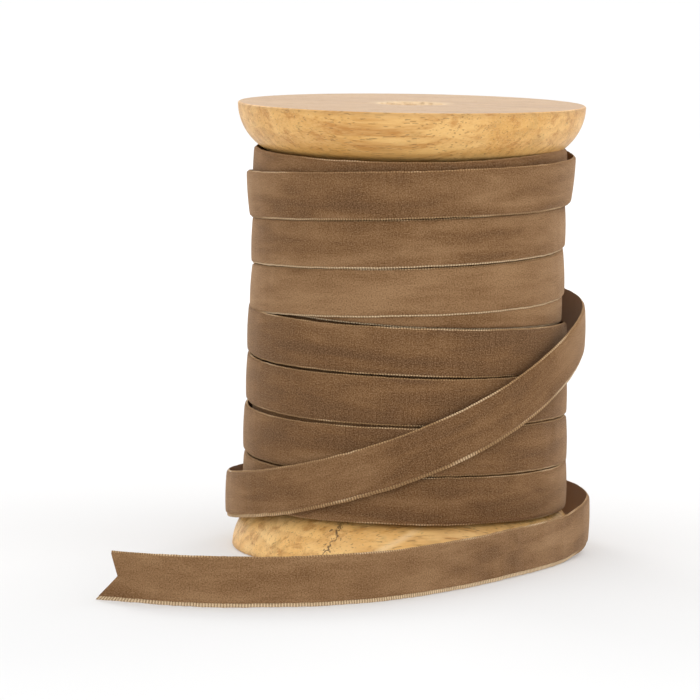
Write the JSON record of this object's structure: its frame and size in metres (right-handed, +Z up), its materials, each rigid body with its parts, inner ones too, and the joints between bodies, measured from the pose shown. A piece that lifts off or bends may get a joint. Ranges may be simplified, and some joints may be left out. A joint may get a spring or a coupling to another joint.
{
  "type": "ribbon spool",
  "caption": "Turned wooden spool with bun-edged flanges, wound with brown velvet ribbon; a loose turn crosses the winding and a swallow-tailed end stands on the table.",
  "frame": {"origin": "middle of the lower flange's flat outer face, on the surface that the spool stands on", "axes": "+Z up along the spool's axis, -Y towards the side where the tail lies, +X to the right as seen from that side"},
  "size_m": [0.1192, 0.1469, 0.1144],
  "materials": {
    "turned_wood": "turned and lightly oiled golden hardwood with dark pores and a little spalting",
    "barrel_wood": "raw turned hardwood, hidden under the ribbon",
    "velvet": "brown cotton velvet with a short crushed pile and tan ribbed selvedges",
    "cloth_tape": "cream cotton tape"
  },
  "bodies": {
    "spool": {"top_flange": "turned_wood", "bottom_flange": "turned_wood", "core": "barrel_wood", "inner_end_tape": "cloth_tape", "winding_layer_1": "velvet", "winding_layer_2": "velvet", "winding_layer_3": "velvet", "winding_layer_4": "velvet", "rising_turns": "velvet", "falling_turns": "velvet"},
    "loose_ribbon": {"loose_turn": "velvet", "ribbon_tail": "velvet"}
  },
  "joints": [
    {"name": "ribbon_swing", "type": "hinge", "parent": "spool", "child": "loose_ribbon", "pos_m": [0, 0, 0], "axis": [0, 0, 1], "range_deg": [-25, 25]}
  ]
}
